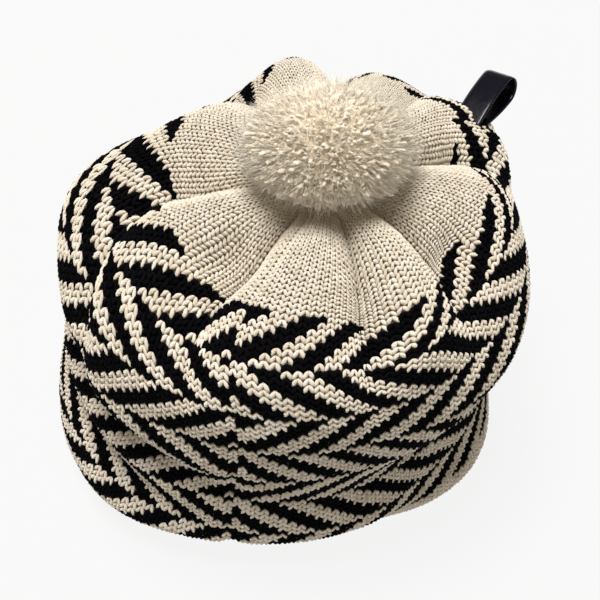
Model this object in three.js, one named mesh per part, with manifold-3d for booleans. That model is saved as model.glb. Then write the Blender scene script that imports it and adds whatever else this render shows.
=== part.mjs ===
// Knitted pompom beanie standing on its rim. Two knitted panels are drawn together at the top into eight
// lobes, a cream hem runs round the rim, a tie closes the gather and carries the pompom, and a folded
// ribbon label stands out of the seam at the back right. Millimetres, +Z up, front of the hat towards -Y.
import * as THREE from 'three';
import Module from 'manifold-3d';
import { mergeVertices } from 'three/addons/utils/BufferGeometryUtils.js';

// Driving dimensions of the knit
const walesAround = 150;
const wallThickness = 3;
const gatheredThickness = 1.5;
const hemThickness = 2.8;
const seamGap = 0.45;
const pieceGap = 0.3;
const frontSeamWale = -2;
const labelSeamWale = 52;
const columnsPerLobe = 8;
const lobeFlatness = 2;
const creaseCrowding = 0.3;

// Gather tie, pompom and label
const tieHeight = 6;
const pompom = { x: 19.2, y: 4.3, z: 136, wide: 27, deep: 21, tall: 18.5, lockLength: 3.6, locks: 70 };
const label = { station: 6.6, width: 10.5, length: 28, leaf: 0.9, swell: 10.5, sunk: 3 };
const labelStand = new THREE.Vector3(0.56, 0.82, 0.02);
const labelAcross = new THREE.Vector3(0.9, -0.39, 0.18);

// Plan sections of the fabric's outside from the rim to the gather: height, centre, half width, reach to
// the front and back, squareness of the outline, how far the creases between the lobes drop and pull in,
// and how far the wales have swung from their place on the body to their place in the gather
const sections = [
  { name: 'rim', z: 0, x: 0, y: 0, side: 82, front: 61, back: 64, square: 2.4, drop: 0, pull: 0, gather: 0 },
  { name: 'hem', z: 9, x: 0, y: 0, side: 81.5, front: 67, back: 67, square: 2.3, drop: 0, pull: 0, gather: 0 },
  { name: 'roll', z: 19, x: 0, y: 0, side: 80.5, front: 75, back: 71, square: 2.1, drop: 0, pull: 0, gather: 0 },
  { name: 'waist', z: 42, x: 1, y: 0, side: 77.5, front: 75, back: 70, square: 2, drop: 0, pull: 0, gather: 0 },
  { name: 'belly', z: 66, x: 5, y: -2, side: 78, front: 75, back: 71, square: 2, drop: 0, pull: 0.6, gather: 0.08 },
  { name: 'shoulder', z: 89, x: 8, y: -5, side: 79, front: 72.5, back: 73, square: 2, drop: 0.5, pull: 1, gather: 0.3 },
  { name: 'brow', z: 107, x: 11, y: -3, side: 71, front: 68.5, back: 66, square: 2, drop: 5.5, pull: 3, gather: 0.7 },
  { name: 'edge', z: 117, x: 15, y: 2, side: 58, front: 56.5, back: 58, square: 2, drop: 12, pull: 6, gather: 1 },
  { name: 'lobe', z: 123, x: 18, y: 4, side: 41, front: 40, back: 41, square: 2, drop: 17, pull: 1, gather: 1 },
  { name: 'neck', z: 121.5, x: 19.2, y: 4.3, side: 25, front: 25, back: 25, square: 2, drop: 8, pull: 0, gather: 1 },
  { name: 'knot', z: 116, x: 19.2, y: 4.3, side: 8.5, front: 8.5, back: 8.5, square: 2, drop: 0, pull: 0, gather: 1 },
];
const hemSection = 1;
const edgeSection = 7;
const knotSection = sections.length - 1;
const profileSteps = [1, 1.4, 1.75, 2, 2.3, 2.55, 2.8, 3.05, 3.3, 3.55, 3.8, 4.05, 4.35, 4.7, 5.1, 5.5,
  5.9, 6.3, 6.7, 7.1, 7.6, 8.1, 8.6, 9.1, 9.6, 10];

// Creases between the lobes: the wale that lies in each, its direction in degrees on the body and at the
// gather, and its depth against the usual
const creases = [
  { wale: -25, body: 204, crown: 176, depth: 1.3 },
  { wale: -8, body: 245, crown: 230, depth: 1.4 },
  { wale: 12.5, body: 293, crown: 287, depth: 1.4 },
  { wale: 25, body: 322, crown: 324, depth: 1.45 },
  { wale: 47, body: 375, crown: 382, depth: 1 },
  { wale: 59, body: 404, crown: 411, depth: 0.45 },
  { wale: 82, body: 455, crown: 441, depth: 1.15 },
  { wale: 104, body: 507, crown: 476, depth: 0.9 },
];

// Slouch folds and soft bulges: the section each runs along, its middle direction, how far it reaches round,
// how it climbs with the direction, its half width in sections, its push outwards and how far it sags
const folds = [
  { at: 3.7, azimuth: 214, reach: 42, climb: -0.012, width: 0.38, push: -6.5, sag: 2 },
  { at: 4.25, azimuth: 212, reach: 46, climb: -0.012, width: 0.42, push: 3.2, sag: 1.2 },
  { at: 2.65, azimuth: 220, reach: 40, climb: -0.01, width: 0.38, push: -4.5, sag: 1.2 },
  { at: 3.1, azimuth: 218, reach: 42, climb: -0.01, width: 0.38, push: 2.4, sag: 1 },
  { at: 1.9, azimuth: 262, reach: 40, climb: 0, width: 0.6, push: 3, sag: 1 },
  { at: 3.5, azimuth: 332, reach: 34, climb: 0.012, width: 0.36, push: -4.5, sag: 1 },
  { at: 4.4, azimuth: 328, reach: 30, climb: 0.01, width: 0.6, push: 6, sag: 0.5 },
  { at: 3.3, azimuth: 95, reach: 50, climb: 0.008, width: 0.38, push: -4, sag: 1 },
  { at: 4.1, azimuth: 60, reach: 45, climb: 0.008, width: 0.45, push: 2.5, sag: 0.5 },
  { at: 5.5, azimuth: 162, reach: 17, climb: 0, width: 0.9, push: 7, sag: 0 },
  { at: 6.2, azimuth: 130, reach: 16, climb: 0, width: 0.8, push: -9, sag: 2 },
  { at: 7.4, azimuth: 98, reach: 14, climb: 0, width: 0.8, push: 4, sag: -1.5 },
  { at: 6.9, azimuth: 50, reach: 13, climb: 0, width: 0.9, push: 3.5, sag: -0.5 },
  { at: 5.7, azimuth: 36, reach: 19, climb: 0, width: 0.9, push: 11, sag: -1 },
  { at: 5.2, azimuth: 200, reach: 20, climb: 0, width: 0.8, push: -2, sag: 0 },
  { at: 6.9, azimuth: 299, reach: 12, climb: 0, width: 0.9, push: 6.8, sag: 0 },
  { at: 6.9, azimuth: 357, reach: 18, climb: 0, width: 0.9, push: 3, sag: 0 },
  { at: 6.9, azimuth: 262, reach: 14, climb: 0, width: 0.9, push: 2, sag: 0 },
  { at: 6.9, azimuth: 204, reach: 14, climb: 0, width: 0.9, push: -3, sag: 0 },
  { at: 5.6, azimuth: 192, reach: 14, climb: -0.085, width: 0.45, push: -5, sag: 1 },
  { at: 0.3, azimuth: 328, reach: 24, climb: 0, width: 0.8, push: 2.5, sag: 0 },
  { at: 2, azimuth: 320, reach: 20, climb: 0, width: 0.7, push: -3, sag: 0 },
  { at: 1.1, azimuth: 228, reach: 20, climb: 0, width: 1, push: 5, sag: 0 },
  { at: 5.6, azimuth: 206, reach: 14, climb: -0.085, width: 0.6, push: 3, sag: 0 },
  { at: 7.7, azimuth: 219, reach: 8, climb: 0, width: 0.75, push: -3, sag: 7 },
  { at: 7.2, azimuth: 334, reach: 7, climb: 0, width: 0.5, push: -4, sag: 4 },
];

const degrees = Math.PI / 180;
const mix = (a, b, t) => a + (b - a) * t;
const clamp01 = (t) => Math.min(1, Math.max(0, t));

function cubic(p0, p1, p2, p3, t) {
  const a = 2 * p1;
  const b = p2 - p0;
  const c = 2 * p0 - 5 * p1 + 4 * p2 - p3;
  const d = 3 * p1 - p0 - 3 * p2 + p3;
  return (a + t * (b + t * (c + t * d))) / 2;
}

// Smooth section at any place between the rows of the table
function sectionAt(station) {
  const last = sections.length - 1;
  const i = Math.min(last - 1, Math.max(0, Math.floor(station)));
  const rows = [i - 1, i, i + 1, i + 2].map((k) => sections[Math.min(last, Math.max(0, k))]);
  const result = {};
  for (const key of ['z', 'x', 'y', 'side', 'front', 'back', 'square', 'drop', 'pull', 'gather']) {
    result[key] = cubic(rows[0][key], rows[1][key], rows[2][key], rows[3][key], station - i);
  }
  return result;
}

function creaseRow(index) {
  const count = creases.length;
  const turn = Math.floor(index / count);
  const row = creases[index - turn * count];
  return {
    wale: row.wale + turn * walesAround,
    body: row.body + turn * 360,
    crown: row.crown + turn * 360,
    depth: row.depth,
  };
}

// Where a wale lies: its direction on the body and in the gather, and how high it rides on its lobe
function waleAt(wale) {
  let index = 0;
  while (wale < creaseRow(index).wale) index -= 1;
  while (wale >= creaseRow(index + 1).wale) index += 1;
  const [before, left, right, after] = [-1, 0, 1, 2].map((k) => creaseRow(index + k));
  const t = (wale - left.wale) / (right.wale - left.wale);
  const across = 2 * t - 1;
  const spread = mix(across, Math.sin(across * Math.PI / 2), creaseCrowding);
  return {
    body: cubic(before.body, left.body, right.body, after.body, t),
    crown: mix(left.crown, right.crown, (spread + 1) / 2),
    arch: 1 - Math.abs(across) ** lobeFlatness,
    depth: mix(left.depth, right.depth, t),
  };
}

// Outside of the fabric at a wale and a station between the rim and the gather
function fabricPoint(wale, station) {
  const section = sectionAt(station);
  const lie = waleAt(wale);
  const azimuth = mix(lie.body, lie.crown, section.gather);
  const cos = Math.cos(azimuth * degrees);
  const sin = Math.sin(azimuth * degrees);
  const depthReach = sin < 0 ? section.front : section.back;
  const sum = Math.abs(cos / section.side) ** section.square + Math.abs(sin / depthReach) ** section.square;
  let radius = sum ** (-1 / section.square);
  let z = section.z;
  const valley = lie.depth * (1 - lie.arch);
  radius -= section.pull * valley;
  z -= section.drop * valley;
  for (const fold of folds) {
    const turn = ((azimuth - fold.azimuth + 540) % 360 + 360) % 360 - 180;
    const off = (station - fold.at - fold.climb * turn) / fold.width;
    const weight = Math.exp(-((turn / fold.reach) ** 2) - off * off);
    radius += fold.push * weight;
    z -= fold.sag * weight;
  }
  return new THREE.Vector3(section.x + radius * cos, section.y + radius * sin, z);
}

// Outward direction of the fabric; it stays level next to the hem and upright next to the gather's hole
function fabricNormal(wale, station) {
  const step = 0.05;
  const round = fabricPoint(wale + 0.5, station).sub(fabricPoint(wale - 0.5, station));
  const low = Math.max(0, station - step);
  const high = Math.min(knotSection, station + step);
  const up = fabricPoint(wale, high).sub(fabricPoint(wale, low));
  const normal = round.cross(up).normalize();
  normal.z *= clamp01((station - hemSection) / 0.6);
  const level = clamp01((knotSection - station) / 0.6);
  normal.x *= level;
  normal.y *= level;
  return normal.normalize();
}

// Closed wall from two grids of points, outside and inside; a grid that goes right round closes on itself
function wallGeometry(outside, inside, closed) {
  const columns = outside.length;
  const rows = outside[0].length;
  const positions = [];
  for (const grid of [outside, inside]) {
    for (const column of grid) {
      for (const point of column) positions.push(point.x, point.y, point.z);
    }
  }
  const at = (side, i, j) => side * columns * rows + (i % columns) * rows + j;
  const index = [];
  const quad = (a, b, c, d) => index.push(a, b, c, a, c, d);
  const spans = closed ? columns : columns - 1;
  for (let i = 0; i < spans; i += 1) {
    for (let j = 0; j < rows - 1; j += 1) {
      quad(at(0, i, j), at(0, i + 1, j), at(0, i + 1, j + 1), at(0, i, j + 1));
      quad(at(1, i, j), at(1, i, j + 1), at(1, i + 1, j + 1), at(1, i + 1, j));
    }
    quad(at(0, i, 0), at(1, i, 0), at(1, i + 1, 0), at(0, i + 1, 0));
    quad(at(0, i, rows - 1), at(0, i + 1, rows - 1), at(1, i + 1, rows - 1), at(1, i, rows - 1));
  }
  if (!closed) {
    const end = columns - 1;
    for (let j = 0; j < rows - 1; j += 1) {
      quad(at(0, 0, j), at(0, 0, j + 1), at(1, 0, j + 1), at(1, 0, j));
      quad(at(0, end, j), at(1, end, j), at(1, end, j + 1), at(0, end, j + 1));
    }
  }
  const geometry = new THREE.BufferGeometry();
  geometry.setAttribute('position', new THREE.Float32BufferAttribute(positions, 3));
  geometry.setIndex(index);
  return geometry;
}

// Wales at which the mesh has a column: the creases, the seam edges and even steps between them
function columnWales(from, to) {
  const wales = [from];
  for (let index = -creases.length; index < 2 * creases.length; index += 1) {
    const left = creaseRow(index).wale;
    const right = creaseRow(index + 1).wale;
    for (let k = 0; k < columnsPerLobe; k += 1) {
      const wale = mix(left, right, k / columnsPerLobe);
      if (wale > from + 0.9 && wale < to - 0.9) wales.push(wale);
    }
  }
  wales.push(to);
  return wales;
}

// The stitches crowd and flatten where they are drawn together
function thicknessAt(station) {
  return mix(wallThickness, gatheredThickness, clamp01((station - edgeSection) / 1.8));
}

// One panel between two seams. Both sides of a seam share one normal, so that their faces stay parallel
function panelGeometry(from, to) {
  const outside = [];
  const inside = [];
  const wales = columnWales(from, to);
  wales.forEach((wale, i) => {
    const side = i === 0 ? 1 : i === wales.length - 1 ? -1 : 0;
    const outer = [];
    const inner = [];
    for (const station of profileSteps) {
      const point = fabricPoint(wale, station);
      const round = fabricPoint(wale + 0.5, station).sub(fabricPoint(wale - 0.5, station)).normalize();
      point.addScaledVector(round, side * seamGap / 2);
      outer.push(point);
      inner.push(point.clone().addScaledVector(fabricNormal(wale, station), -thicknessAt(station)));
    }
    outside.push(outer);
    inside.push(inner);
  });
  return wallGeometry(outside, inside, false);
}

function hemGeometry() {
  const outside = [];
  const inside = [];
  const top = fabricPoint(0, hemSection).z - pieceGap;
  const wales = columnWales(creases[0].wale, creases[0].wale + walesAround).slice(0, -1);
  for (const wale of wales) {
    const outer = [0, 0.35, 0.7, 1].map((station) => {
      const point = fabricPoint(wale, station);
      point.z = Math.min(point.z, top);
      return point;
    });
    outside.push(outer);
    inside.push(outer.map((point) => point.clone().addScaledVector(fabricNormal(wale, 0), -hemThickness)));
  }
  return wallGeometry(outside, inside, true);
}

// Plain round tie through the gather, its foot wider than the hole so that it can't pull out
function tieGeometry() {
  const knot = sections[knotSection];
  const stem = knot.side - pieceGap - 0.2;
  const profile = [
    [0, -tieHeight],
    [stem * 0.75, -tieHeight],
    [stem, -tieHeight * 0.75],
    [stem, 0.4],
    [stem * 0.8, 1.4],
    [0, 1.4],
  ].map(([radius, height]) => new THREE.Vector2(radius, height));
  const geometry = new THREE.LatheGeometry(profile, 12);
  geometry.rotateX(Math.PI / 2);
  geometry.translate(knot.x, knot.y, knot.z);
  return geometry;
}

const wasm = await Module();
wasm.setup();

function toSolid(geometry) {
  const bare = geometry.clone();
  bare.deleteAttribute('normal');
  bare.deleteAttribute('uv');
  const merged = mergeVertices(bare, 1e-4);
  return new wasm.Manifold(new wasm.Mesh({
    numProp: 3,
    vertProperties: new Float32Array(merged.attributes.position.array),
    triVerts: new Uint32Array(merged.index.array),
  }));
}

function toGeometry(solid) {
  const mesh = solid.getMesh();
  const geometry = new THREE.BufferGeometry();
  geometry.setAttribute('position', new THREE.Float32BufferAttribute(mesh.vertProperties, 3));
  geometry.setIndex(Array.from(mesh.triVerts));
  return geometry;
}

// Pompom: a flattened core with tapered locks of yarn fused all over it, cut flat where it meets the tie
function pompomGeometry() {
  const core = new THREE.SphereGeometry(1, 16, 10);
  core.scale(pompom.wide - pompom.lockLength, pompom.deep - pompom.lockLength, pompom.tall - pompom.lockLength);
  let solid = toSolid(core);
  const goldenTurn = Math.PI * (3 - Math.sqrt(5));
  for (let i = 0; i < pompom.locks; i += 1) {
    const height = 1 - 2 * (i + 0.5) / pompom.locks;
    const ring = Math.sqrt(1 - height * height);
    const way = new THREE.Vector3(ring * Math.cos(i * goldenTurn), ring * Math.sin(i * goldenTurn), height);
    const tip = new THREE.Vector3(way.x * pompom.wide, way.y * pompom.deep, way.z * pompom.tall);
    const reach = 2 * pompom.lockLength;
    const lock = new THREE.CylinderGeometry(1.5, 3.4, reach, 5, 1);
    lock.translate(0, -reach / 2, 0);
    lock.applyQuaternion(new THREE.Quaternion().setFromUnitVectors(new THREE.Vector3(0, 1, 0), way));
    lock.translate(tip.x, tip.y, tip.z);
    solid = solid.add(toSolid(lock));
  }
  const floorCut = new THREE.BoxGeometry(60, 60, 20);
  const knot = sections[knotSection];
  floorCut.translate(0, 0, knot.z + 1.4 + pieceGap - pompom.z - 10);
  solid = solid.subtract(toSolid(floorCut));
  return toGeometry(solid);
}

// Patch of the fabric round the label's root, a little proud of the real one, that trims the ribbon's ends
function labelSeatGeometry() {
  const proud = [];
  const deep = [];
  for (let wale = labelSeamWale - 12; wale <= labelSeamWale + 14; wale += 1) {
    const stations = [-1.2, -0.9, -0.6, -0.4, -0.2, 0, 0.2, 0.4, 0.6, 0.9].map((step) => label.station + step);
    const offset = (distance) => stations.map((station) => (
      fabricPoint(wale, station).addScaledVector(fabricNormal(wale, station), distance)));
    proud.push(offset(pieceGap + 0.15));
    deep.push(offset(-2 * wallThickness));
  }
  return wallGeometry(proud, deep, false);
}

// Folded ribbon: two leaves that meet at the seam and part into a loop towards the fold
function labelGeometry() {
  const { length, leaf, swell, width } = label;
  const half = swell / 2;
  const outline = (inset) => {
    const path = new THREE.Path();
    path.moveTo(-(leaf + 0.1 - inset), inset ? leaf : 0);
    path.lineTo(leaf + 0.1 - inset, inset ? leaf : 0);
    path.bezierCurveTo(half - inset, length * 0.4, half - inset, length * 0.7, half - inset, length - half);
    path.absarc(0, length - half, half - inset, 0, Math.PI, false);
    path.bezierCurveTo(-half + inset, length * 0.7, -half + inset, length * 0.4, -(leaf + 0.1 - inset),
      inset ? leaf : 0);
    return path;
  };
  const shape = new THREE.Shape(outline(0).getPoints(8));
  shape.holes.push(new THREE.Path(outline(leaf).getPoints(8)));
  const geometry = new THREE.ExtrudeGeometry(shape, { depth: width, bevelEnabled: false, steps: 1 });
  geometry.translate(0, 0, -width / 2);
  const stand = labelStand.clone().normalize();
  const aside = stand.clone().cross(labelAcross).normalize();
  const across = aside.clone().cross(stand).normalize();
  geometry.applyMatrix4(new THREE.Matrix4().makeBasis(aside, stand, across));
  const root = fabricPoint(labelSeamWale, label.station);
  root.addScaledVector(fabricNormal(labelSeamWale, label.station), -label.sunk);
  geometry.translate(root.x, root.y, root.z);
  return toGeometry(toSolid(geometry).subtract(toSolid(labelSeatGeometry())));
}

const creamYarn = { color: 0xe1d7c3, roughness: 0.95, metalness: 0 };
const patternYarn = { color: 0x8d8780, roughness: 0.95, metalness: 0 };
const fluffYarn = { color: 0xebe6d7, roughness: 1, metalness: 0 };
const satinRibbon = { color: 0x191623, roughness: 0.35, metalness: 0 };

const beanie = new THREE.Group();

function addPiece(name, geometry, finish) {
  geometry.computeVertexNormals();
  const mesh = new THREE.Mesh(geometry, new THREE.MeshStandardMaterial(finish));
  mesh.name = name;
  beanie.add(mesh);
  return mesh;
}

addPiece('front_panel', panelGeometry(frontSeamWale, labelSeamWale), patternYarn);
addPiece('back_panel', panelGeometry(labelSeamWale, frontSeamWale + walesAround), patternYarn);
addPiece('hem_band', hemGeometry(), creamYarn);
addPiece('gather_tie', tieGeometry(), creamYarn);
const pompomMesh = addPiece('pompom', pompomGeometry(), fluffYarn);
pompomMesh.position.set(pompom.x, pompom.y, pompom.z);
addPiece('loop_label', labelGeometry(), satinRibbon);

// The frame's origin is the middle of the footprint, on the surface that the rim rests on
beanie.updateMatrixWorld(true);
const extent = new THREE.Box3().setFromObject(beanie, true);
beanie.position.set(-(extent.min.x + extent.max.x) / 2, -(extent.min.y + extent.max.y) / 2, -extent.min.z);

export default beanie;
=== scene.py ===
# Knitted pompom beanie standing on its rim. Metres, +Z up, front of the hat towards -Y.
import math
import bpy
import numpy as np
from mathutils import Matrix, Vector


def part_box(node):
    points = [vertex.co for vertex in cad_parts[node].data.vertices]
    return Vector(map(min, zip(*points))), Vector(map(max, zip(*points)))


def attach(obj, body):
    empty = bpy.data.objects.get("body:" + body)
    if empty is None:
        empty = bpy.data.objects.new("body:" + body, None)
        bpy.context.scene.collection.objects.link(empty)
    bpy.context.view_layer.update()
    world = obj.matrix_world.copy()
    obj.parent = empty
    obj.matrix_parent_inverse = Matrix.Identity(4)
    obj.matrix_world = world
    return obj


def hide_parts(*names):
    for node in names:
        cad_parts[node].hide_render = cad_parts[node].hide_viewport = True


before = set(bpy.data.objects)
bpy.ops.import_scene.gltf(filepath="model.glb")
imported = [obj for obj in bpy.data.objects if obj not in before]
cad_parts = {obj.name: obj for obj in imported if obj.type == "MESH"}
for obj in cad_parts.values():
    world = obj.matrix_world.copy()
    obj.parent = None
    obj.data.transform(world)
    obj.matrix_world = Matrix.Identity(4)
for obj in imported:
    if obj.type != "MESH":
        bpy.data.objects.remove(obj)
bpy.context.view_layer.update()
scene = bpy.context.scene
mm = 0.001


# Camera, light and floor

cameraSetup = {
    "aim": (6.67, 1.69, 60),  # millimetres
    "elevation": 53,  # degrees
    "distance": 620,  # millimetres
    "lens": 102.84,
    "nearest": 0.01,  # metres
}
lightSetup = {  # metres and watts
    "skyColour": (1.0, 0.89, 0.74),
    "skyStrength": 0.24,
    "keyPlace": (-0.4, 0.35, 4.2),
    "keyAim": (0.0, 0.0, 0.05),
    "keySize": 2.0,
    "keyPower": 200.0,
    "keyColour": (1.0, 0.985, 0.965),
    "floorSize": 12.0,
    "floorColour": (0.05, 0.05, 0.052),
    "floorGlow": 0.865,
    "floorRoughness": 0.9,
}


def lookFrom(holder, place, target):
    holder.location = place
    holder.rotation_euler = (Vector(target) - Vector(place)).to_track_quat("-Z", "Y").to_euler()


def makeCamera():
    tilt = math.radians(cameraSetup["elevation"])
    aim = Vector(cameraSetup["aim"]) * mm
    back = Vector((0, -math.cos(tilt), math.sin(tilt))) * cameraSetup["distance"] * mm
    camera = bpy.data.objects.new("camera", bpy.data.cameras.new("camera"))
    camera.data.lens = cameraSetup["lens"]
    camera.data.clip_start = cameraSetup["nearest"]
    scene.collection.objects.link(camera)
    lookFrom(camera, aim + back, aim)
    scene.camera = camera


def makeStage():
    world = bpy.data.worlds.new("studio")
    world.use_nodes = True
    sky = world.node_tree.nodes["Background"]
    sky.inputs["Color"].default_value = (*lightSetup["skyColour"], 1)
    sky.inputs["Strength"].default_value = lightSetup["skyStrength"]
    scene.world = world
    key = bpy.data.objects.new("key", bpy.data.lights.new("key", "AREA"))
    key.data.size = lightSetup["keySize"]
    key.data.energy = lightSetup["keyPower"]
    key.data.color = lightSetup["keyColour"]
    scene.collection.objects.link(key)
    lookFrom(key, lightSetup["keyPlace"], lightSetup["keyAim"])
    half = lightSetup["floorSize"] / 2
    corners = [(-half, -half, 0), (half, -half, 0), (half, half, 0), (-half, half, 0)]
    mesh = bpy.data.meshes.new("floor")
    mesh.from_pydata(corners, [], [(0, 1, 2, 3)])
    floor = bpy.data.objects.new("floor", mesh)
    scene.collection.objects.link(floor)
    paint = bpy.data.materials.new("floorPaint")
    paint.use_nodes = True
    shader = paint.node_tree.nodes["Principled BSDF"]
    shader.inputs["Base Color"].default_value = (*lightSetup["floorColour"], 1)
    shader.inputs["Emission Color"].default_value = (1, 1, 1, 1)
    shader.inputs["Emission Strength"].default_value = lightSetup["floorGlow"]
    shader.inputs["Roughness"].default_value = lightSetup["floorRoughness"]
    mesh.materials.append(paint)
    scene.view_settings.view_transform = "Standard"
    scene.view_settings.look = "None"


makeCamera()
makeStage()
print("camera, light and floor made")


# The fabric's form: plan sections from the rim (row 0) to the gather, in millimetres

fabric = {
    "walesAround": 150,
    "crownRows": 26,
    "bodyRows": 56,
    "hemRows": 4,
    "patternTop": 7.22,  # place among the sections where plain crown meets pattern
    "frontSeam": -2,
    "labelSeam": 52,
    "seamDepth": 1.3,
    "seamWidth": 0.9,
    "lobeFlatness": 2,
    "creaseCrowding": 0.3,
    "bandRows": 8,
    "stripeWales": 3,
    "backShift": 3,  # wales by which the back panel's pattern is moved on
    "thickness": 3.0,
    "gatheredThickness": 1.5,
    "thinning": (7, 8.8),  # places among the sections between which the wall thins
    "waleWidth": 3.1,
    "loft": (0.45, 1.1),  # least and greatest height of a stitch, where it is narrow and where it is wide
    "squaring": 0.6,  # sections over which the wall turns level at the rim and upright at the knot
    "gaugeWale": 4.0,  # front wale down which the rows are spaced
    "gaugeSteps": 1800,
    "slopeStep": 0.05,  # sections
}
sectionTable = np.array([
    # z, x, y, side, front, back, square, drop, pull, gather
    (0, 0, 0, 82, 61, 64, 2.4, 0, 0, 0),  # rim
    (9, 0, 0, 81.5, 67, 67, 2.3, 0, 0, 0),  # hem
    (19, 0, 0, 80.5, 75, 71, 2.1, 0, 0, 0),  # roll
    (42, 1, 0, 77.5, 75, 70, 2, 0, 0, 0),  # waist
    (66, 5, -2, 78, 75, 71, 2, 0, 0.6, 0.08),  # belly
    (89, 8, -5, 79, 72.5, 73, 2, 0.5, 1, 0.3),  # shoulder
    (107, 11, -3, 71, 68.5, 66, 2, 5.5, 3, 0.7),  # brow
    (117, 15, 2, 58, 56.5, 58, 2, 12, 6, 1),  # edge
    (123, 18, 4, 41, 40, 41, 2, 17, 1, 1),  # lobe
    (121.5, 19.2, 4.3, 25, 25, 25, 2, 8, 0, 1),  # neck
    (116, 19.2, 4.3, 8.5, 8.5, 8.5, 2, 0, 0, 1),  # knot
], float)
creaseTable = np.array([
    # wale, degrees on the body, degrees at the gather, depth
    (-25, 204, 176, 1.3),
    (-8, 245, 230, 1.4),
    (12.5, 293, 287, 1.4),
    (25, 322, 324, 1.45),
    (47, 375, 382, 1),
    (59, 404, 411, 0.45),
    (82, 455, 441, 1.15),
    (104, 507, 476, 0.9),
], float)
foldTable = [
    # section, middle direction, reach round, climb, half width, push, sag
    (3.7, 214, 42, -0.012, 0.38, -6.5, 2),
    (4.25, 212, 46, -0.012, 0.42, 3.2, 1.2),
    (2.65, 220, 40, -0.01, 0.38, -4.5, 1.2),
    (3.1, 218, 42, -0.01, 0.38, 2.4, 1),
    (1.9, 262, 40, 0, 0.6, 3, 1),
    (3.5, 332, 34, 0.012, 0.36, -4.5, 1),
    (4.4, 328, 30, 0.01, 0.6, 6, 0.5),
    (3.3, 95, 50, 0.008, 0.38, -4, 1),
    (4.1, 60, 45, 0.008, 0.45, 2.5, 0.5),
    (5.5, 162, 17, 0, 0.9, 7, 0),
    (6.2, 130, 16, 0, 0.8, -9, 2),
    (7.4, 98, 14, 0, 0.8, 4, -1.5),
    (6.9, 50, 13, 0, 0.9, 3.5, -0.5),
    (5.7, 36, 19, 0, 0.9, 11, -1),
    (5.2, 200, 20, 0, 0.8, -2, 0),
    (6.9, 299, 12, 0, 0.9, 6.8, 0),
    (6.9, 357, 18, 0, 0.9, 3, 0),
    (6.9, 262, 14, 0, 0.9, 2, 0),
    (6.9, 204, 14, 0, 0.9, -3, 0),
    (5.6, 192, 14, -0.085, 0.45, -5, 1),
    (0.3, 328, 24, 0, 0.8, 2.5, 0),
    (2, 320, 20, 0, 0.7, -3, 0),
    (1.1, 228, 20, 0, 1, 5, 0),
    (5.6, 206, 14, -0.085, 0.6, 3, 0),
    (7.7, 219, 8, 0, 0.75, -3, 7),
    (7.2, 334, 7, 0, 0.5, -4, 4),
]
knotSection = len(sectionTable) - 1
lastRow = fabric["crownRows"] + fabric["bodyRows"] + fabric["hemRows"]
seams = (fabric["frontSeam"], fabric["labelSeam"], fabric["frontSeam"] + fabric["walesAround"])
tieLow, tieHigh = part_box("gather_tie")  # the tie stands at the knot, which gives the tables their place
tieMiddle = np.array(((tieLow.x + tieHigh.x) / 2, (tieLow.y + tieHigh.y) / 2, 0))
origin = tieMiddle - np.array((*sectionTable[knotSection, 1:3], 0)) * mm


def mix(a, b, t):
    return a + (b - a) * t


def cubic(p0, p1, p2, p3, t):
    bend = 2 * p0 - 5 * p1 + 4 * p2 - p3 + t * (3 * p1 - p0 - 3 * p2 + p3)
    return (2 * p1 + t * (p2 - p0 + t * bend)) / 2


def sectionAt(station):
    index = np.clip(np.floor(station).astype(int), 0, knotSection - 1)
    rows = [sectionTable[np.clip(index + step, 0, knotSection)] for step in (-1, 0, 1, 2)]
    return np.moveaxis(cubic(*rows, (station - index)[..., None]), -1, 0)


def waleAt(wale):
    turn = np.array((fabric["walesAround"], 360, 360, 0))
    allCreases = np.concatenate([creaseTable + turn * count for count in (-2, -1, 0, 1, 2)])
    index = np.searchsorted(allCreases[:, 0], wale, side="right") - 1
    before, left, right, after = (np.moveaxis(allCreases[index + step], -1, 0) for step in (-1, 0, 1, 2))
    t = (wale - left[0]) / (right[0] - left[0])
    across = 2 * t - 1
    spread = mix(across, np.sin(across * np.pi / 2), fabric["creaseCrowding"])
    arch = 1 - np.abs(across) ** fabric["lobeFlatness"]
    body = cubic(before[1], left[1], right[1], after[1], t)
    crown = mix(left[2], right[2], (spread + 1) / 2)
    return body, crown, arch, mix(left[3], right[3], t)


def fabricPoint(wale, station):  # outside of the fabric, in metres
    wale, station = np.broadcast_arrays(np.asarray(wale, float), np.asarray(station, float))
    z, x, y, side, front, back, square, drop, pull, gather = sectionAt(station)
    body, crown, arch, depth = waleAt(wale)
    azimuth = mix(body, crown, gather)
    cos, sin = np.cos(np.radians(azimuth)), np.sin(np.radians(azimuth))
    reach = np.where(sin < 0, front, back)
    radius = (np.abs(cos / side) ** square + np.abs(sin / reach) ** square) ** (-1 / square)
    valley = depth * (1 - arch)
    radius = radius - pull * valley
    z = z - drop * valley
    for at, middle, around, climb, width, push, sag in foldTable:
        turn = (azimuth - middle + 540) % 360 - 180
        weight = np.exp(-(turn / around) ** 2 - ((station - at - climb * turn) / width) ** 2)
        radius = radius + push * weight
        z = z - sag * weight
    return np.stack([x + radius * cos, y + radius * sin, z], -1) * mm + origin


def rowStations():  # place among the sections of each row, spaced evenly down the front of the hat
    station = np.linspace(knotSection, 1, fabric["gaugeSteps"] + 1)
    points = fabricPoint(fabric["gaugeWale"], station)
    length = np.concatenate([[0], np.cumsum(np.linalg.norm(np.diff(points, axis=0), axis=1))])
    edge = np.interp(-fabric["patternTop"], -station, length)
    crown = np.interp(np.linspace(0, edge, fabric["crownRows"] + 1), length, station)
    body = np.interp(np.linspace(edge, length[-1], fabric["bodyRows"] + 1), length, station)
    hem = np.linspace(1, 0, fabric["hemRows"] + 1)
    return np.concatenate([crown, body[1:], hem[1:]])


stationOfRow = rowStations()


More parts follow.
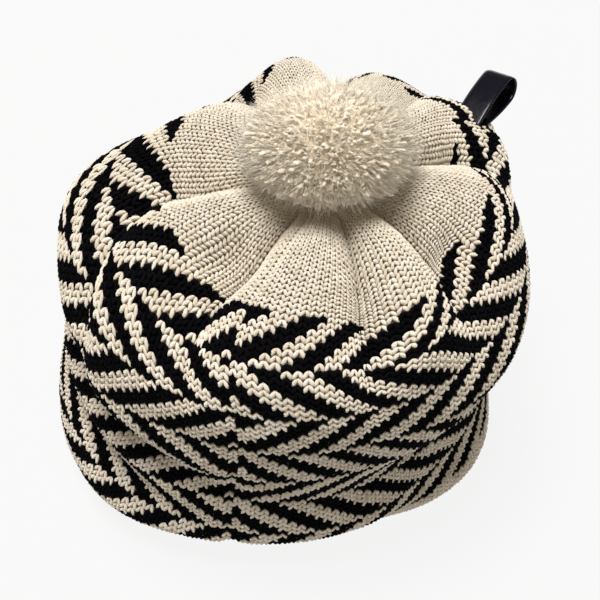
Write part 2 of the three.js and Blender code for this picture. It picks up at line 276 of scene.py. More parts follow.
def fabricGrid(wales, rows):  # points on the outside, outward directions and stations
    wale, row = np.meshgrid(wales, rows, indexing="ij")
    station = np.interp(row, np.arange(lastRow + 1), stationOfRow)
    point = fabricPoint(wale, station)
    around = fabricPoint(wale + 0.5, station) - fabricPoint(wale - 0.5, station)
    above = fabricPoint(wale, np.minimum(station + fabric["slopeStep"], knotSection))
    below = fabricPoint(wale, np.maximum(station - fabric["slopeStep"], 0))
    outward = np.cross(around, above - below)
    outward /= np.linalg.norm(outward, axis=-1, keepdims=True)
    outward[..., 2] *= np.clip((station - 1) / fabric["squaring"], 0, 1)
    level = np.clip((knotSection - station) / fabric["squaring"], 0, 1)
    outward[..., :2] *= level[..., None]
    outward /= np.linalg.norm(outward, axis=-1, keepdims=True)
    groove = sum(np.exp(-((wale - seam) / fabric["seamWidth"]) ** 2) for seam in seams)
    point = point - outward * (groove * fabric["seamDepth"] * mm)[..., None]
    loft = np.clip(np.linalg.norm(around, axis=-1) / (fabric["waleWidth"] * mm), *fabric["loft"])
    thin = np.interp(station, fabric["thinning"], (0, 1))
    thickness = mix(fabric["thickness"], fabric["gatheredThickness"], thin)
    return point, outward, loft, thickness


def isBlack(wale, row):  # herringbone: bands of rows whose stripes lean left and right by turns
    wale, row = np.asarray(wale), np.asarray(row) - fabric["crownRows"]
    wale = wale + np.where(wale >= fabric["labelSeam"], fabric["backShift"], 0)
    band, step = row // fabric["bandRows"], row % fabric["bandRows"]
    stripe = fabric["stripeWales"]
    leanRight = (wale + step - 1) % (2 * stripe) >= stripe
    leanLeft = (wale - stripe - step) % (2 * stripe) >= stripe
    inside = (row >= 0) & (row < fabric["bodyRows"])
    return inside & np.where(band % 2 == 0, leanRight, leanLeft)


# Helpers for meshes and node trees

def meshObject(name, points, faces):
    mesh = bpy.data.meshes.new(name)
    mesh.from_pydata([tuple(point) for point in points], [], [tuple(face) for face in faces])
    mesh.update()
    holder = bpy.data.objects.new(name, mesh)
    scene.collection.objects.link(holder)
    return holder


def socket(group, name):
    return next(item for item in group if item.name == name and item.enabled)


def newTree(name, inputs):
    tree = bpy.data.node_groups.new(name, "GeometryNodeTree")
    tree.interface.new_socket("Geometry", in_out="INPUT", socket_type="NodeSocketGeometry")
    for label, kind, value in inputs:
        item = tree.interface.new_socket(label, in_out="INPUT", socket_type="NodeSocket" + kind)
        if value is not None:
            item.default_value = value
    tree.interface.new_socket("Geometry", in_out="OUTPUT", socket_type="NodeSocketGeometry")
    return tree, tree.nodes.new("NodeGroupInput"), tree.nodes.new("NodeGroupOutput")


def addNode(tree, kind, links=None, **settings):
    node = tree.nodes.new(kind)
    for key, value in settings.items():
        setattr(node, key, value)
    for name, source in (links or {}).items():
        target = node.inputs[name] if isinstance(name, int) else socket(node.inputs, name)
        if isinstance(source, bpy.types.NodeSocket):
            tree.links.new(source, target)
        else:
            target.default_value = source
    return node


def out(node, name=None):
    return socket(node.outputs, name) if name else next(item for item in node.outputs if item.enabled)


def math2(tree, operation, a, b=None):
    links = {0: a} if b is None else {0: a, 1: b}
    return out(addNode(tree, "ShaderNodeMath", links, operation=operation))


def vector2(tree, operation, a, b=None):
    links = {0: a} if b is None else {0: a, 1: b}
    return out(addNode(tree, "ShaderNodeVectorMath", links, operation=operation))


def scaleBy(tree, vector, factor):
    node = addNode(tree, "ShaderNodeVectorMath", {0: vector, "Scale": factor}, operation="SCALE")
    return out(node)


def randomValue(tree, seed, least=0.0, most=1.0, kind="FLOAT"):
    links = {"Min": least, "Max": most, "Seed": seed}
    return out(addNode(tree, "FunctionNodeRandomValue", links, data_type=kind))


def storeValue(tree, geometry, name, value, kind="FLOAT"):
    links = {"Geometry": geometry, "Name": name, "Value": value}
    return out(addNode(tree, "GeometryNodeStoreNamedAttribute", links, data_type=kind, domain="INSTANCE"))


def readVector(tree, name):
    return out(addNode(tree, "GeometryNodeInputNamedAttribute", {"Name": name}, data_type="FLOAT_VECTOR"))


def endTree(tree, result, geometry, position, yarn):  # carries the points to their place and dyes the faces
    carried = addNode(tree, "GeometryNodeSetPosition", {"Geometry": geometry, "Position": position})
    dyed = addNode(tree, "GeometryNodeSetMaterial", {"Geometry": out(carried), "Material": yarn})
    tree.links.new(out(dyed), result.inputs["Geometry"])


def realise(holder, tree, values):  # runs the tree on the holder and keeps the result as a plain mesh
    modifier = holder.modifiers.new(tree.name, "NODES")
    modifier.node_group = tree
    for item in tree.interface.items_tree:
        if item.in_out == "INPUT" and item.name in values:
            modifier[item.identifier] = values[item.name]
    graph = bpy.context.evaluated_depsgraph_get()
    grown = holder.evaluated_get(graph)
    made = bpy.data.meshes.new_from_object(grown, preserve_all_data_layers=True, depsgraph=graph)
    holder.modifiers.remove(modifier)
    old = holder.data
    holder.data = made
    bpy.data.meshes.remove(old)
    made.name = holder.name
    made.shade_smooth()
    return holder


def finishPiece(holder, slot, nodes=()):
    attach(holder, "root")
    if nodes:
        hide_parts(*nodes)
    holder.data.calc_loop_triangles()
    print(f"{holder.name}: {len(holder.data.loop_triangles)} triangles")


# Materials

def newMaterial(name, colour, roughness, sheen=0.0, gloss=0.15):
    material = bpy.data.materials.new(name)
    material.use_nodes = True
    shader = material.node_tree.nodes["Principled BSDF"]
    shader.inputs["Base Color"].default_value = (*colour, 1)
    shader.inputs["Roughness"].default_value = roughness
    shader.inputs["Sheen Weight"].default_value = sheen
    shader.inputs["Specular IOR Level"].default_value = gloss
    material.diffuse_color = (*colour, 1)
    return material, material.node_tree, shader


def noise(tree, vector, scale, detail, roughness=0.5):
    node = addNode(tree, "ShaderNodeTexNoise", {"Scale": scale, "Detail": detail, "Roughness": roughness})
    tree.links.new(vector, node.inputs["Vector"])
    return socket(node.outputs, "Fac")


def blendColour(tree, factor, first, second):
    node = tree.nodes.new("ShaderNodeMix")
    node.data_type = "RGBA"
    for index, value in ((0, factor), (6, first), (7, second)):  # the sockets that serve colours
        if isinstance(value, bpy.types.NodeSocket):
            tree.links.new(value, node.inputs[index])
        else:
            node.inputs[index].default_value = value if index == 0 else (*value, 1)
    return node.outputs[2]


def bump(tree, shader, height, strength, distance):
    node = addNode(tree, "ShaderNodeBump", {"Strength": strength, "Distance": distance, "Height": height})
    tree.links.new(node.outputs["Normal"], shader.inputs["Normal"])


yarnLook = {
    "roughness": 0.92,
    "diffuseRoughness": 1.0,
    "heather": (420, 3, 0.7),  # scale, detail and roughness of the flecks
    "fleckAbove": 0.62,
    "fleckShare": 0.35,
    "plies": 3.0,
    "twist": 5.0,  # turns along a stitch
    "plyHeight": 0.5,
    "fibre": (2600, 2, 0.6),
    "bump": (0.45, 0.00022),  # strength, metres
}
groundLook = {
    "plain": (0.3, 0.25, 0.18),  # where the pattern isn't drawn: a dark warm brown, the cream yarn with painted shade of the gaps between the stitches
    # the cream yarn's own colour, made darker and warmer as painted shade in the gaps between the stitches
    "cream": (0.62, 0.51, 0.38),
    "black": (0.004, 0.0035, 0.004),
    "patch": (0.06, 0.035, 0.02),
    "patchScale": 300,
    "patchShare": 0.3,
    "roughness": 0.95,
    "purlHeight": 0.5,
    "bump": (0.8, 0.0006),
}
satinLook = {
    "colour": (0.003, 0.0027, 0.009),
    "gloss": 0.1,
    "anisotropy": 0.5,
    "coat": 0.5,
    "coatRoughness": 0.12,
    "roughness": (0.1, 0.15),  # least, and what the ripple adds
    "warps": 45,
    "wefts": 160,
    "threadHeights": (0.3, 0.15),
    "rippleScale": 260,
    "rippleHeight": 3.0,
    "bump": (0.25, 0.0001),
}


def yarnMaterial(name, deep, light, speck, sheen, gloss=0.15):
    material, tree, shader = newMaterial(name, light, yarnLook["roughness"], sheen, gloss)
    place = out(addNode(tree, "ShaderNodeTexCoord"), "Object")
    shade = out(addNode(tree, "ShaderNodeAttribute", attribute_name="shade"), "Fac")
    shader.inputs["Diffuse Roughness"].default_value = yarnLook["diffuseRoughness"]
    heather = noise(tree, place, *yarnLook["heather"])
    colour = blendColour(tree, shade, deep, light)
    flecks = math2(tree, "GREATER_THAN", heather, yarnLook["fleckAbove"])
    colour = blendColour(tree, math2(tree, "MULTIPLY", flecks, yarnLook["fleckShare"]), colour, speck)
    tree.links.new(colour, shader.inputs["Base Color"])
    strand = addNode(tree, "ShaderNodeUVMap", uv_map="strand").outputs["UV"]
    parts = addNode(tree, "ShaderNodeSeparateXYZ", {0: strand})
    turns = math2(tree, "MULTIPLY", parts.outputs["X"], yarnLook["plies"])
    climb = math2(tree, "MULTIPLY", parts.outputs["Y"], yarnLook["twist"])
    ply = math2(tree, "SINE", math2(tree, "MULTIPLY", math2(tree, "ADD", turns, climb), 2 * math.pi))
    fibre = noise(tree, place, *yarnLook["fibre"])
    height = math2(tree, "ADD", math2(tree, "MULTIPLY", ply, yarnLook["plyHeight"]), fibre)
    bump(tree, shader, height, *yarnLook["bump"])
    return material


def groundMaterial():
    material, tree, shader = newMaterial("groundKnit", groundLook["plain"], groundLook["roughness"])
    black = out(addNode(tree, "ShaderNodeAttribute", attribute_name="dark"), "Fac")
    place = out(addNode(tree, "ShaderNodeTexCoord"), "Object")
    # the ground's cream carries painted shade for the gaps between the stitches; its black is the black
    # yarn's own colour
    colour = blendColour(tree, black, groundLook["cream"], groundLook["black"])
    patch = math2(tree, "MULTIPLY", noise(tree, place, groundLook["patchScale"], 3), groundLook["patchShare"])
    colour = blendColour(tree, patch, colour, groundLook["patch"])
    tree.links.new(colour, shader.inputs["Base Color"])
    chart = addNode(tree, "ShaderNodeUVMap", uv_map="chart").outputs["UV"]
    parts = addNode(tree, "ShaderNodeSeparateXYZ", {0: chart})
    ridge = math2(tree, "SINE", math2(tree, "MULTIPLY", parts.outputs["Y"], 2 * math.pi))
    purl = math2(tree, "SINE", math2(tree, "MULTIPLY", parts.outputs["X"], 2 * math.pi))
    height = math2(tree, "ADD", ridge, math2(tree, "MULTIPLY", purl, groundLook["purlHeight"]))
    bump(tree, shader, height, *groundLook["bump"])
    return material


def satinMaterial():
    least, added = satinLook["roughness"]
    material, tree, shader = newMaterial("satinRibbon", satinLook["colour"], least, 0.0, satinLook["gloss"])
    shader.inputs["Anisotropic"].default_value = satinLook["anisotropy"]
    shader.inputs["Coat Weight"].default_value = satinLook["coat"]
    shader.inputs["Coat Roughness"].default_value = satinLook["coatRoughness"]
    ribbon = addNode(tree, "ShaderNodeUVMap", uv_map="ribbon").outputs["UV"]
    parts = addNode(tree, "ShaderNodeSeparateXYZ", {0: ribbon})
    place = out(addNode(tree, "ShaderNodeTexCoord"), "Object")
    ripple = noise(tree, place, satinLook["rippleScale"], 2)
    height = math2(tree, "MULTIPLY", ripple, satinLook["rippleHeight"])
    for axis, count, share in zip("XY", (satinLook["warps"], satinLook["wefts"]), satinLook["threadHeights"]):
        wave = math2(tree, "SINE", math2(tree, "MULTIPLY", parts.outputs[axis], 2 * math.pi * count))
        height = math2(tree, "ADD", height, math2(tree, "MULTIPLY", wave, share))
    bump(tree, shader, height, *satinLook["bump"])
    roughness = math2(tree, "ADD", math2(tree, "MULTIPLY", ripple, added), least)
    tree.links.new(roughness, shader.inputs["Roughness"])
    return material


# each yarn's deep and light colour, flecks, sheen and gloss
creamYarn = yarnMaterial("creamYarn", (0.8, 0.725, 0.6), (0.91, 0.855, 0.755), (0.66, 0.53, 0.38), 0.15)
blackYarn = yarnMaterial("blackYarn", (0.0025, 0.0022, 0.003), (0.005, 0.0045, 0.006),
                         (0.008, 0.0075, 0.01), 0.0, 0.04)
fluffYarn = yarnMaterial("fluffYarn", (0.97, 0.87, 0.71), (0.99, 0.95, 0.85), (0.94, 0.83, 0.66), 0.25)
groundKnit = groundMaterial()
satinRibbon = satinMaterial()
print("materials made")


# Ground of the knit: closed walls under the stitches, seen through the gaps and from inside

ground = {
    "sunk": 0.95,
    "wall": 0.25,
    "waleStep": 0.5,  # so that the ground follows the creases
}


def groundWall(name, wales, rows):
    point, outward, _, thickness = fabricGrid(wales, rows)
    outer = point - outward * ground["sunk"] * mm
    inner = point - outward * ((thickness - ground["wall"]) * mm)[..., None]
    columns, count = point.shape[:2]
    index = np.arange(columns * count).reshape(columns, count)
    a, b, c, d = index[:-1, :-1], index[1:, :-1], index[1:, 1:], index[:-1, 1:]
    far = columns * count
    sheet = np.stack([a, d, c, b], -1).reshape(-1, 4)
    lining = np.stack([a, b, c, d], -1).reshape(-1, 4) + far
    faces = [sheet, lining]
    for line, flip in ((index[0], False), (index[-1], True), (index[:, 0], True), (index[:, -1], False)):
        strip = np.stack([line[:-1], line[1:], line[1:] + far, line[:-1] + far], -1)
        faces.append(strip[:, ::-1] if flip else strip)
    faces = np.concatenate(faces)
    holder = meshObject(name, np.concatenate([outer.reshape(-1, 3), inner.reshape(-1, 3)]), faces)
    mesh = holder.data
    wale, row = np.meshgrid(wales, rows, indexing="ij")
    chart = np.tile(np.stack([wale, row], -1).reshape(-1, 2), (2, 1))
    layer = mesh.uv_layers.new(name="chart")
    layer.data.foreach_set("uv", chart[faces.ravel()].ravel().astype(np.float32))
    middle = chart[faces].mean(axis=1)
    dark = isBlack(np.floor(middle[:, 0]).astype(int), np.floor(middle[:, 1]).astype(int))
    mesh.attributes.new("dark", "FLOAT", "FACE").data.foreach_set("value", dark.astype(np.float32))
    mesh.materials.append(groundKnit)
    mesh.shade_smooth()
    return holder


hemTopRow = fabric["crownRows"] + fabric["bodyRows"]
panelRows = np.arange(hemTopRow + 1)
frontWales = np.arange(seams[0], seams[1] + 1)
backWales = np.arange(seams[1], seams[2] + 1)


# Stitches: each is a pair of leaf-shaped legs that meet towards the crown, laid out on the chart
# and then carried on to the fabric

stitch = {
    "path": (  # middle line of a leg: share of a wale, share of a row, height in millimetres
        (0.05, 0.7, -0.75),
        (0.13, 0.44, -0.1),
        (0.27, -0.02, 0.16),
        (0.38, -0.46, 0.0),
        (0.43, -0.86, -0.75),
    ),
    "along": (0.0, 0.2, 0.5, 0.8, 1.0),  # share of the leg's length at each point of the path
    "halfWidth": (0.175, 0.25, 0.2),  # share of a wale, at the points between the tips
    "halfHeight": (0.38, 0.52, 0.45),  # millimetres
    "sides": 4,
    "scatter": (0.035, 0.05, 0.1),
    "turn": 0.07,
    "sizes": (0.93, 1.05),
    "highestRow": 0.02,
    "rimGap": 0.15,  # rows kept free above the rim
    "margin": 4,  # wales by which the sheet goes on past the first seam
    "grain": 0.5,  # wales and rows of one face of the sheet
    "seeds": {"Crown": 11, "Cream": 23, "Black": 37, "hem": 51},
}


def stitchMesh():
    points, faces, uvs = [], [], []
    sides = stitch["sides"]
    path = stitch["path"]
    for mirror in (1, -1):
        start = len(points)
        points.append((path[0][0] * mirror, path[0][1], path[0][2]))
        for (x, y, z), wide, high in zip(path[1:-1], stitch["halfWidth"], stitch["halfHeight"]):
            for side in range(sides):
                angle = 2 * math.pi * side / sides
                points.append(((x + wide * math.cos(angle)) * mirror, y, z + high * math.sin(angle)))
        points.append((path[-1][0] * mirror, path[-1][1], path[-1][2]))
        tip = len(points) - 1
        along = stitch["along"]
        legFaces = []
        for side in range(sides):
            after = (side + 1) % sides
            u0, u1 = side / sides, (side + 1) / sides
            first = start + 1
            legFaces.append(((start, first + after, first + side), ((u0, 0), (u1, along[1]), (u0, along[1]))))
            for ring in range(len(path) - 3):
                low = first + ring * sides
                high = low + sides
                v0, v1 = along[ring + 1], along[ring + 2]
                legFaces.append(((low + side, low + after, high + after, high + side),
                                 ((u0, v0), (u1, v0), (u1, v1), (u0, v1))))
            last = tip - sides
            legFaces.append(((last + side, last + after, tip), ((u0, along[-2]), (u1, along[-2]), (u0, 1))))
        for face, uv in legFaces:
            faces.append(face if mirror > 0 else face[::-1])
            uvs.extend(uv if mirror > 0 else uv[::-1])
    holder = meshObject("stitchPattern", points, faces)
    layer = holder.data.uv_layers.new(name="strand")
    layer.data.foreach_set("uv", np.array(uvs, np.float32).ravel())
    holder.data.shade_smooth()
    return holder


def fabricSurface():  # fine sheet that the stitches are carried on to; its map counts wales and rows
    grain = stitch["grain"]
    wales = np.arange(seams[0] - stitch["margin"], seams[2] + stitch["margin"] + grain / 2, grain)
    rows = np.arange(0, lastRow + grain / 2, grain)
    point, outward, loft, _ = fabricGrid(wales, rows)
    columns, count = point.shape[:2]
    index = np.arange(columns * count).reshape(columns, count)
    faces = np.stack([index[:-1, :-1], index[:-1, 1:], index[1:, 1:], index[1:, :-1]], -1).reshape(-1, 4)
    holder = meshObject("fabricSurface", point.reshape(-1, 3), faces)
    wale, row = np.meshgrid(wales, rows, indexing="ij")
    span = {"from": wales[0], "wales": wales[-1] - wales[0], "rows": rows[-1]}
    chart = np.stack([(wale - span["from"]) / span["wales"], row / span["rows"]], -1).reshape(-1, 2)
    layer = holder.data.uv_layers.new(name="chart")
    layer.data.foreach_set("uv", chart[faces.ravel()].ravel().astype(np.float32))
    lift = (outward * loft[..., None] * mm).reshape(-1, 3).astype(np.float32)
    holder.data.attributes.new("lift", "FLOAT_VECTOR", "POINT").data.foreach_set("vector", lift.ravel())
    return holder, span


def stitchTree(span):
    tree, given, result = newTree("knitStitches", [
        ("Fabric", "Object", None), ("Stitch", "Object", None), ("Yarn", "Material", None),
        ("Scatter", "Vector", stitch["scatter"]), ("Turn", "Float", stitch["turn"]),
        ("Smallest", "Float", stitch["sizes"][0]), ("Largest", "Float", stitch["sizes"][1]),
        ("Highest Row", "Float", stitch["highestRow"]), ("Lowest Row", "Float", lastRow - stitch["rimGap"]),
        ("Seed", "Int", None),
    ])
    sheet = out(addNode(tree, "GeometryNodeObjectInfo", {"Object": given.outputs["Fabric"]}), "Geometry")
    leaf = out(addNode(tree, "GeometryNodeObjectInfo", {"Object": given.outputs["Stitch"]}), "Geometry")
    seed = given.outputs["Seed"]
    scatter = given.outputs["Scatter"]
    backScatter = vector2(tree, "MULTIPLY", scatter, (-1, -1, -1))
    jitter = randomValue(tree, seed, backScatter, scatter, "FLOAT_VECTOR")
    moved = addNode(tree, "GeometryNodeSetPosition", {"Geometry": given.outputs["Geometry"],
                    "Offset": jitter})
    backTurn = math2(tree, "MULTIPLY", given.outputs["Turn"], -1.0)
    swing = randomValue(tree, math2(tree, "ADD", seed, 1.0), backTurn, given.outputs["Turn"])
    size = randomValue(tree, math2(tree, "ADD", seed, 2.0), given.outputs["Smallest"],
                       given.outputs["Largest"])
    turned = addNode(tree, "ShaderNodeCombineXYZ", {"Z": swing})
    placed = addNode(tree, "GeometryNodeInstanceOnPoints", {"Points": out(moved), "Instance": leaf,
                     "Rotation": out(turned), "Scale": size})
    tint = randomValue(tree, math2(tree, "ADD", seed, 3.0))
    stored = storeValue(tree, out(placed), "shade", tint)
    loose = out(addNode(tree, "GeometryNodeRealizeInstances", {"Geometry": stored}))
    parts = addNode(tree, "ShaderNodeSeparateXYZ", {0: out(addNode(tree, "GeometryNodeInputPosition"))})
    across = math2(tree, "DIVIDE", math2(tree, "SUBTRACT", parts.outputs["X"], float(span["from"])),
                   float(span["wales"]))
    down = math2(tree, "MULTIPLY", parts.outputs["Y"], -1.0)
    down = math2(tree, "MAXIMUM", down, given.outputs["Highest Row"])
    down = math2(tree, "MINIMUM", down, given.outputs["Lowest Row"])
    down = math2(tree, "DIVIDE", down, float(span["rows"]))
    where = out(addNode(tree, "ShaderNodeCombineXYZ", {"X": across, "Y": down}))
    chart = readVector(tree, "chart")
    here = out(addNode(tree, "GeometryNodeInputPosition"))
    found = []
    for value in (here, readVector(tree, "lift")):
        found.append(out(addNode(tree, "GeometryNodeSampleUVSurface", {"Mesh": sheet, "Value": value,
                         "UV Map": chart, "Sample UV": where}, data_type="FLOAT_VECTOR")))
    raised = vector2(tree, "ADD", found[0], scaleBy(tree, found[1], parts.outputs["Z"]))
    endTree(tree, result, loose, raised, given.outputs["Yarn"])
    return tree


surface, chartSpan = fabricSurface()
leaf = stitchMesh()
knit = stitchTree(chartSpan)


def knitPiece(name, wales, rows, wantBlack, yarn, seed):
    wale, row = np.meshgrid(wales, rows, indexing="ij")
    chosen = isBlack(wale, row) == wantBlack
    wale, row = wale[chosen] + 0.5, row[chosen] + 0.5
    holder = meshObject(name, np.stack([wale, -row, np.zeros(len(wale))], -1), [])
    return realise(holder, knit, {"Fabric": surface, "Stitch": leaf, "Yarn": yarn, "Seed": seed})


crownRows, bodyRows = np.split(np.arange(hemTopRow), [fabric["crownRows"]])
panelParts = (
    ("Crown", crownRows, False, creamYarn, "cream_yarn"),
    ("Cream", bodyRows, False, creamYarn, "cream_yarn"),
    ("Black", bodyRows, True, blackYarn, "black_yarn"),
)
for side, wales, node in (("front", frontWales, "front_panel"), ("back", backWales, "back_panel")):
    fineWales = np.arange(wales[0], wales[-1] + ground["waleStep"] / 2, ground["waleStep"])
    finishPiece(groundWall(side + "Ground", fineWales, panelRows), "cream_yarn", [node])
    for part, rows, black, yarn, slot in panelParts:
        stitches = knitPiece(side + part, wales[:-1], rows, black, yarn, stitch["seeds"][part])
        finishPiece(stitches, slot)
print("panels knitted")


# Hem: the plain cream edge that the hat stands on

hem = {
    "gap": 0.15,  # rows between the panels' ground and the hem's
    "levels": 9,
}
hemWales = np.arange(seams[0], seams[2] + 1)
hemLevels = np.linspace(hemTopRow + hem["gap"], lastRow, hem["levels"])
finishPiece(groundWall("hemGround", hemWales, hemLevels), "cream_yarn", ["hem_band"])
hemRows = np.arange(hemTopRow, lastRow)
hemStitches = knitPiece("hemStitches", hemWales[:-1], hemRows, False, creamYarn, stitch["seeds"]["hem"])
finishPiece(hemStitches, "cream_yarn")
for spare in (surface, leaf):
    bpy.data.objects.remove(spare)
print("hem knitted")


# Pompom: cut yarn and loose fibres grown on a round core, then squashed to its flattened form

pompom = {
    "centre": (19.2, 4.3, 136),
    "reach": (27, 21, 18.5),
    "core": 0.6,  # like the lengths that follow, a share of the reach
    "coreDetail": 4,
    "bed": 0.92,
    "bedDetail": 5,
    "lowest": -0.5,  # the tie and the crown take the underside
    "yarnRings": ((-0.2, 0.5), (0.5, 0.9), (0.94, 1.2), (1.0, 0)),
    "yarnSides": 4,
    "yarnSpacing": 0.027,
    "yarnDensity": 9000.0,
    "yarnLength": (0.36, 0.45),
    "yarnHalfWidth": 0.021,
    "yarnTilt": 0.22,
    "yarnSeed": 5,
    "fibreRings": ((-0.1, 1.0), (0.35, 1.0), (0.7, 0.8), (1.0, 0)),
    "fibreSides": 3,
    "fibreCount": 11000,
    "fibreLength": (0.42, 0.68),
    "fibreHalfWidth": 0.0046,
    "fibreTilt": 0.8,
    "fibreSeed": 9,
    "curl": 0.09,
    "swing": 4.0,
    "wave": (3.5, 1.0),  # scale and detail of the noise that curls the strands
    "ownWave": 2.0,  # how far apart in the noise the strands are
}


def strandMesh(name, rings, sides):  # rings: height and half width for a length of one
    points, faces, uvs = [], [], []
    for height, wide in rings[:-1]:
        for side in range(sides):
            angle = 2 * math.pi * side / sides
            points.append((wide * math.cos(angle), wide * math.sin(angle), height))
    points.append((0, 0, rings[-1][0]))
    faces.append(tuple(range(sides))[::-1])
    uvs.extend([(0, 0)] * sides)
    for ring in range(len(rings) - 2):
        for side in range(sides):
            after = (side + 1) % sides
            low, high = ring * sides, (ring + 1) * sides
            faces.append((low + side, low + after, high + after, high + side))
            v0, v1 = rings[ring][0], rings[ring + 1][0]
            u0, u1 = side / sides, (side + 1) / sides
            uvs.extend([(u0, v0), (u1, v0), (u1, v1), (u0, v1)])
    last = (len(rings) - 2) * sides
    for side in range(sides):
        after = (side + 1) % sides
        faces.append((last + side, last + after, len(points) - 1))
        uvs.extend([(side / sides, rings[-2][0]), ((side + 1) / sides, rings[-2][0]), (side / sides, 1)])
    holder = meshObject(name, points, faces)
    holder.data.uv_layers.new(name="strand").data.foreach_set("uv", np.array(uvs, np.float32).ravel())
    holder.data.shade_smooth()
    return holder


def fluffTree():
    inputs = {"Strand": "Object", "Yarn": "Material", "Spacing": "Float", "Density": "Float",
              "Shortest": "Float", "Longest": "Float", "Half Width": "Float", "Tilt": "Float",
              "Curl": "Float", "Lowest": "Float", "Reach": "Vector", "Centre": "Vector", "Seed": "Int"}
    tree, given, result = newTree("cutYarn", [(name, kind, None) for name, kind in inputs.items()])
    seed = given.outputs["Seed"]
    strand = out(addNode(tree, "GeometryNodeObjectInfo", {"Object": given.outputs["Strand"]}), "Geometry")
    height = addNode(tree, "ShaderNodeSeparateXYZ", {0: out(addNode(tree, "GeometryNodeInputPosition"))})
    above = addNode(tree, "FunctionNodeCompare", {"A": height.outputs["Z"], "B": given.outputs["Lowest"]},
                    data_type="FLOAT", operation="GREATER_THAN")
    spots = addNode(tree, "GeometryNodeDistributePointsOnFaces", {"Mesh": given.outputs["Geometry"],
                    "Selection": out(above), "Distance Min": given.outputs["Spacing"],
                    "Density Max": given.outputs["Density"], "Seed": seed}, distribute_method="POISSON")
    lean = randomValue(tree, seed, (-1, -1, -1), (1, 1, 1), "FLOAT_VECTOR")
    way = vector2(tree, "ADD", out(spots, "Normal"), scaleBy(tree, lean, given.outputs["Tilt"]))
    aimed = addNode(tree, "FunctionNodeAlignRotationToVector", {"Vector": way}, axis="Z")
    length = randomValue(tree, math2(tree, "ADD", seed, 1.0), given.outputs["Shortest"],
                         given.outputs["Longest"])
    size = addNode(tree, "ShaderNodeCombineXYZ", {"X": given.outputs["Half Width"],
                   "Y": given.outputs["Half Width"], "Z": length})
    grown = addNode(tree, "GeometryNodeInstanceOnPoints", {"Points": out(spots, "Points"),
                    "Instance": strand, "Rotation": out(aimed), "Scale": out(size)})
    tint = randomValue(tree, math2(tree, "ADD", seed, 2.0))
    stored = storeValue(tree, out(grown), "shade", tint)
    stored = storeValue(tree, stored, "phase", lean, "FLOAT_VECTOR")
    loose = out(addNode(tree, "GeometryNodeRealizeInstances", {"Geometry": stored}))
    here = out(addNode(tree, "GeometryNodeInputPosition"))
    apart = scaleBy(tree, readVector(tree, "phase"), pompom["ownWave"])
    scale, detail = pompom["wave"]
    wave = addNode(tree, "ShaderNodeTexNoise", {"Scale": scale, "Detail": detail,
                   "Vector": vector2(tree, "ADD", here, apart)})
    sway = vector2(tree, "SUBTRACT", socket(wave.outputs, "Color"), (0.5, 0.5, 0.5))
    beyond = math2(tree, "SUBTRACT", vector2(tree, "LENGTH", here), pompom["core"])
    beyond = math2(tree, "DIVIDE", math2(tree, "MAXIMUM", beyond, 0.0), 1 - pompom["core"])
    amount = math2(tree, "MULTIPLY", beyond, given.outputs["Curl"])
    amount = math2(tree, "MULTIPLY", amount, pompom["swing"])
    curled = vector2(tree, "ADD", here, scaleBy(tree, sway, amount))
    formed = vector2(tree, "MULTIPLY", curled, given.outputs["Reach"])
    formed = vector2(tree, "ADD", formed, given.outputs["Centre"])
    endTree(tree, result, loose, formed, given.outputs["Yarn"])
    return tree


def roundCore(name, radius, subdivisions):
    bpy.ops.mesh.primitive_ico_sphere_add(subdivisions=subdivisions, radius=radius)
    holder = bpy.context.object
    holder.name = name
    holder.data.name = name
    holder.data.shade_smooth()
    return holder


def makePompom():
    centre = Vector(np.array(pompom["centre"]) * mm + origin)
    reach = Vector(pompom["reach"]) * mm
    core = roundCore("pompomCore", pompom["bed"], pompom["bedDetail"])
    for vertex in core.data.vertices:
        vertex.co = Vector((vertex.co.x * reach.x, vertex.co.y * reach.y, vertex.co.z * reach.z)) + centre
    core.data.materials.append(fluffYarn)
    finishPiece(core, "pompom_yarn", ["pompom"])
    fluff = fluffTree()
    yarn = strandMesh("yarnStrand", pompom["yarnRings"], pompom["yarnSides"])
    fibre = strandMesh("fibreStrand", pompom["fibreRings"], pompom["fibreSides"])
    shared = {"Yarn": fluffYarn, "Reach": reach, "Centre": centre, "Curl": pompom["curl"],
              "Lowest": pompom["lowest"] * pompom["core"]}
    cut = roundCore("pompomYarn", pompom["core"], pompom["coreDetail"])
    shortest, longest = pompom["yarnLength"]
    realise(cut, fluff, {**shared, "Strand": yarn, "Spacing": pompom["yarnSpacing"],
            "Density": pompom["yarnDensity"], "Shortest": shortest, "Longest": longest,
            "Half Width": pompom["yarnHalfWidth"], "Tilt": pompom["yarnTilt"], "Seed": pompom["yarnSeed"]})
    finishPiece(cut, "pompom_yarn")
    fuzz = roundCore("pompomFuzz", pompom["core"], pompom["coreDetail"])
    area = 4 * math.pi * pompom["core"] ** 2 * (1 - pompom["lowest"]) / 2
    shortest, longest = pompom["fibreLength"]
    realise(fuzz, fluff, {**shared, "Strand": fibre, "Spacing": 0.0,
            "Density": pompom["fibreCount"] / area, "Shortest": shortest, "Longest": longest,
            "Half Width": pompom["fibreHalfWidth"], "Tilt": pompom["fibreTilt"], "Seed": pompom["fibreSeed"]})
    finishPiece(fuzz, "pompom_yarn")
    for spare in (yarn, fibre):
        bpy.data.objects.remove(spare)


makePompom()
print("pompom made")


# Label: a folded satin ribbon, left bare

label = {
    "wale": 52,
    "station": 6.6,
    "width": 10.5,
    "length": 28,
    "leaf": 0.6,
    "swell": 10.5,
    "sunk": 3,
    "stand": (0.56, 0.82, 0.02),
    "across": (0.9, -0.39, 0.18),
    "rootHalf": 0.5,  # half of the way from leaf to leaf at the root
    "bulge": (0.4, 0.7),  # shares of the length at which the leaves are pulled apart
    "selvedge": (0.75, 12),  # share of the thickness lost at the edges, and how sharply
    "steps": 14,
    "acrossSteps": 10,
}


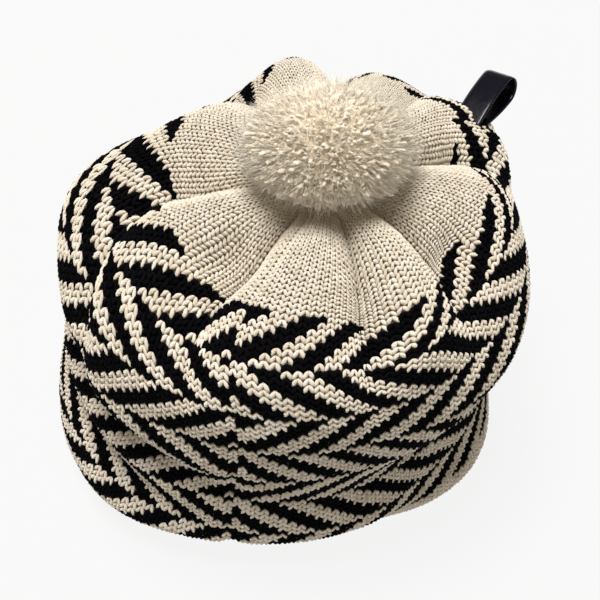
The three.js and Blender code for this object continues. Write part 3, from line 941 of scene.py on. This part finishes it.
def ribbonLine():  # middle line of the loop: across the loop, along the ribbon
    half = label["swell"] / 2 - label["leaf"] / 2
    bend = label["length"] - label["swell"] / 2
    steps = label["steps"]
    low, high = np.array((label["rootHalf"], 0)), np.array((half, bend))
    pullLow, pullHigh = (np.array((half, label["length"] * share)) for share in label["bulge"])
    t = np.linspace(0, 1, steps)[:, None]
    rise = low * (1 - t) ** 3 + 3 * pullLow * t * (1 - t) ** 2
    rise = rise + 3 * pullHigh * t ** 2 * (1 - t) + high * t ** 3
    angle = np.linspace(0, np.pi, steps)[1:-1]
    fold = np.stack([half * np.cos(angle), bend + half * np.sin(angle)], -1)
    fall = rise[::-1] * (-1, 1)
    return np.concatenate([rise, fold, fall])


def makeLabel():
    line = ribbonLine()
    tangent = np.gradient(line, axis=0)
    tangent /= np.linalg.norm(tangent, axis=1, keepdims=True)
    side = np.stack([tangent[:, 1], -tangent[:, 0]], -1)
    stand = Vector(label["stand"]).normalized()
    aside = stand.cross(Vector(label["across"])).normalized()
    across = aside.cross(stand).normalized()
    rootRow = float(np.interp(-label["station"], -stationOfRow, np.arange(lastRow + 1)))
    root, outward, _, _ = fabricGrid([label["wale"]], [rootRow])
    root = Vector(root[0, 0]) - Vector(outward[0, 0]) * label["sunk"] * mm
    count = label["acrossSteps"]
    lost, sharpness = label["selvedge"]
    points, uvs = [], []
    for level in (1, -1):
        for k, place in enumerate(line):
            for j in range(count + 1):
                share = 2 * j / count - 1
                edge = 1 - lost * abs(share) ** sharpness
                spot = place + side[k] * level * label["leaf"] / 2 * edge
                offset = aside * spot[0] + stand * spot[1] + across * (share * label["width"] / 2)
                points.append(root + offset * mm)
                uvs.append((j / count, k / (len(line) - 1)))
    rowLength = count + 1
    layer = len(line) * rowLength
    faces = []
    for k in range(len(line) - 1):
        for j in range(count):
            a = k * rowLength + j
            quad = (a, a + 1, a + 1 + rowLength, a + rowLength)
            faces.append(quad)
            faces.append(tuple(index + layer for index in quad[::-1]))
        for j, flip in ((0, True), (count, False)):
            a = k * rowLength + j
            quad = (a, a + layer, a + layer + rowLength, a + rowLength)
            faces.append(quad[::-1] if flip else quad)
    for k, flip in ((0, False), (len(line) - 1, True)):
        for j in range(count):
            a = k * rowLength + j
            quad = (a, a + layer, a + layer + 1, a + 1)
            faces.append(quad[::-1] if flip else quad)
    holder = meshObject("loopLabel", points, faces)
    order = [index for face in holder.data.polygons for index in face.vertices]
    corners = np.array(uvs, np.float32)[order]
    holder.data.uv_layers.new(name="ribbon").data.foreach_set("uv", corners.ravel())
    holder.data.materials.append(satinRibbon)
    holder.data.shade_smooth()
    finishPiece(holder, "satin_ribbon", ["loop_label"])


makeLabel()
print("label made")


# Gather tie: the model's own solid, in the cream yarn

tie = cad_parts["gather_tie"]
tie.data.materials.clear()
tie.data.materials.append(creamYarn)
